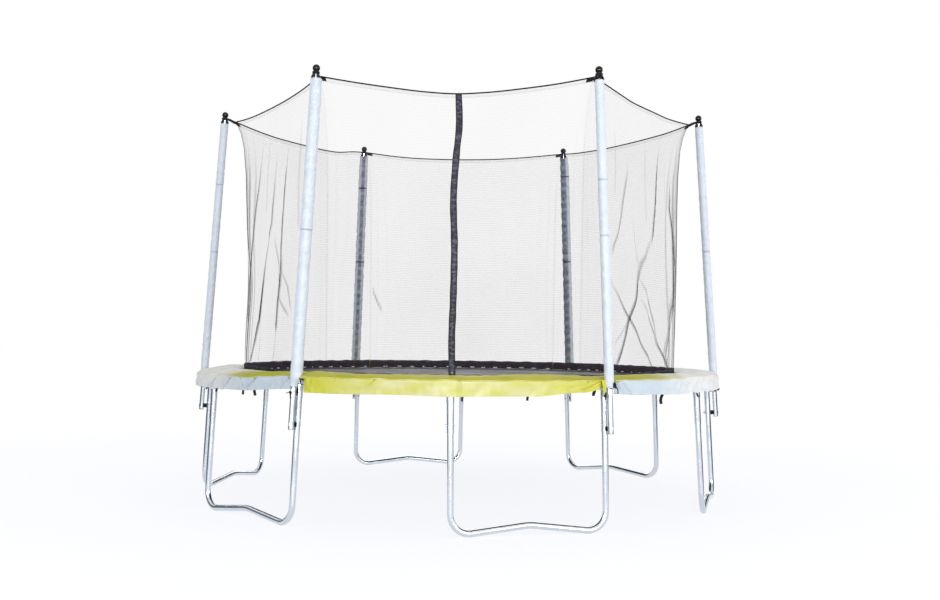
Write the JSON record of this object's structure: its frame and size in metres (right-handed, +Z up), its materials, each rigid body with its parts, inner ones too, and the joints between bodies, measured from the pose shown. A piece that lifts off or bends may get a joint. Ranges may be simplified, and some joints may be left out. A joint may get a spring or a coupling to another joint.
{
  "type": "trampoline",
  "caption": "Round garden trampoline on W-shaped tube legs, with a spring pad, padded poles and a zipped net enclosure.",
  "frame": {"origin": "on the floor, at the centre of the ring", "axes": "+Z up, -Y towards the side with the zipped door, +X to the right seen from there"},
  "size_m": [3.7812, 3.712, 2.7608],
  "materials": {
    "galvanised_steel": "bright galvanised tube",
    "zinc_fasteners": "zinc plated",
    "spring_steel": "galvanised wire",
    "sleeve_cover": "coated cover over foam",
    "black_plastic": "moulded black",
    "net_mesh": "fine knitted mesh",
    "black_webbing": "woven webbing",
    "zip_fabric": "crinkled tape",
    "slider_metal": "black enamel",
    "lime_cover": "coated cover, lime",
    "blue_cover": "coated cover, pale blue",
    "bed_weave": "tight woven bed"
  },
  "bodies": {
    "frame": {"ring_tube_01": "galvanised_steel", "ring_tube_02": "galvanised_steel", "ring_tube_03": "galvanised_steel", "ring_tube_04": "galvanised_steel", "ring_tube_05": "galvanised_steel", "ring_tube_06": "galvanised_steel", "ring_tube_07": "galvanised_steel", "ring_tube_08": "galvanised_steel", "ring_tube_09": "galvanised_steel", "ring_tube_10": "galvanised_steel", "ring_tube_11": "galvanised_steel", "ring_tube_12": "galvanised_steel", "leg_base_1": "galvanised_steel", "leg_base_2": "galvanised_steel", "leg_base_3": "galvanised_steel", "leg_base_4": "galvanised_steel", "leg_base_5": "galvanised_steel", "leg_base_6": "galvanised_steel", "leg_risers": "galvanised_steel", "pole_lower_1": "galvanised_steel", "pole_upper_1": "galvanised_steel", "pole_lower_2": "galvanised_steel", "pole_upper_2": "galvanised_steel", "pole_lower_3": "galvanised_steel", "pole_upper_3": "galvanised_steel", "pole_lower_4": "galvanised_steel", "pole_upper_4": "galvanised_steel", "pole_lower_5": "galvanised_steel", "pole_upper_5": "galvanised_steel", "pole_lower_6": "galvanised_steel", "pole_upper_6": "galvanised_steel", "pole_sleeves": "sleeve_cover", "pole_caps": "black_plastic", "pole_end_plugs": "black_plastic", "frame_bolts": "zinc_fasteners", "frame_nuts": "zinc_fasteners", "clamp_spacers": "black_plastic", "net_panel_1": "net_mesh", "net_panel_2": "net_mesh", "net_panel_3": "net_mesh", "net_panel_4": "net_mesh", "net_panel_5": "net_mesh", "net_panel_6": "net_mesh", "net_top_hem": "black_webbing", "net_bottom_band": "black_webbing", "net_bed_ties": "black_webbing", "net_corner_straps": "black_webbing", "zip_tape": "zip_fabric", "pad_section_1": "lime_cover", "pad_section_2": "blue_cover", "pad_section_3": "blue_cover", "pad_section_4": "blue_cover", "pad_section_5": "blue_cover", "pad_section_6": "blue_cover", "pad_straps": "black_webbing", "springs": "spring_steel"},
    "bed": {"bed_mat": "bed_weave", "bed_v_rings": "zinc_fasteners"},
    "zip_slider": {"zip_slider": "slider_metal"},
    "zip_pull": {"zip_pull": "slider_metal"}
  },
  "joints": [
    {"name": "bed_bounce", "type": "slide", "parent": "frame", "child": "bed", "axis": [0, 0, 1], "range_m": [-0.2, 0], "stiffness_N_per_m": 5000, "springref_m": 0.03, "deforming": ["springs", "net_bed_ties"]},
    {"name": "zip_run", "type": "slide", "parent": "frame", "child": "zip_slider", "axis": [0.0161, 0.0351, 0.9993], "range_m": [0, 1.5]},
    {"name": "zip_pull_swing", "type": "hinge", "parent": "zip_slider", "child": "zip_pull", "pos_m": [0.00064, -1.51049, 0.90839], "axis": [-0.9999, 0.0006, 0.016], "range_deg": [0, 150]}
  ]
}
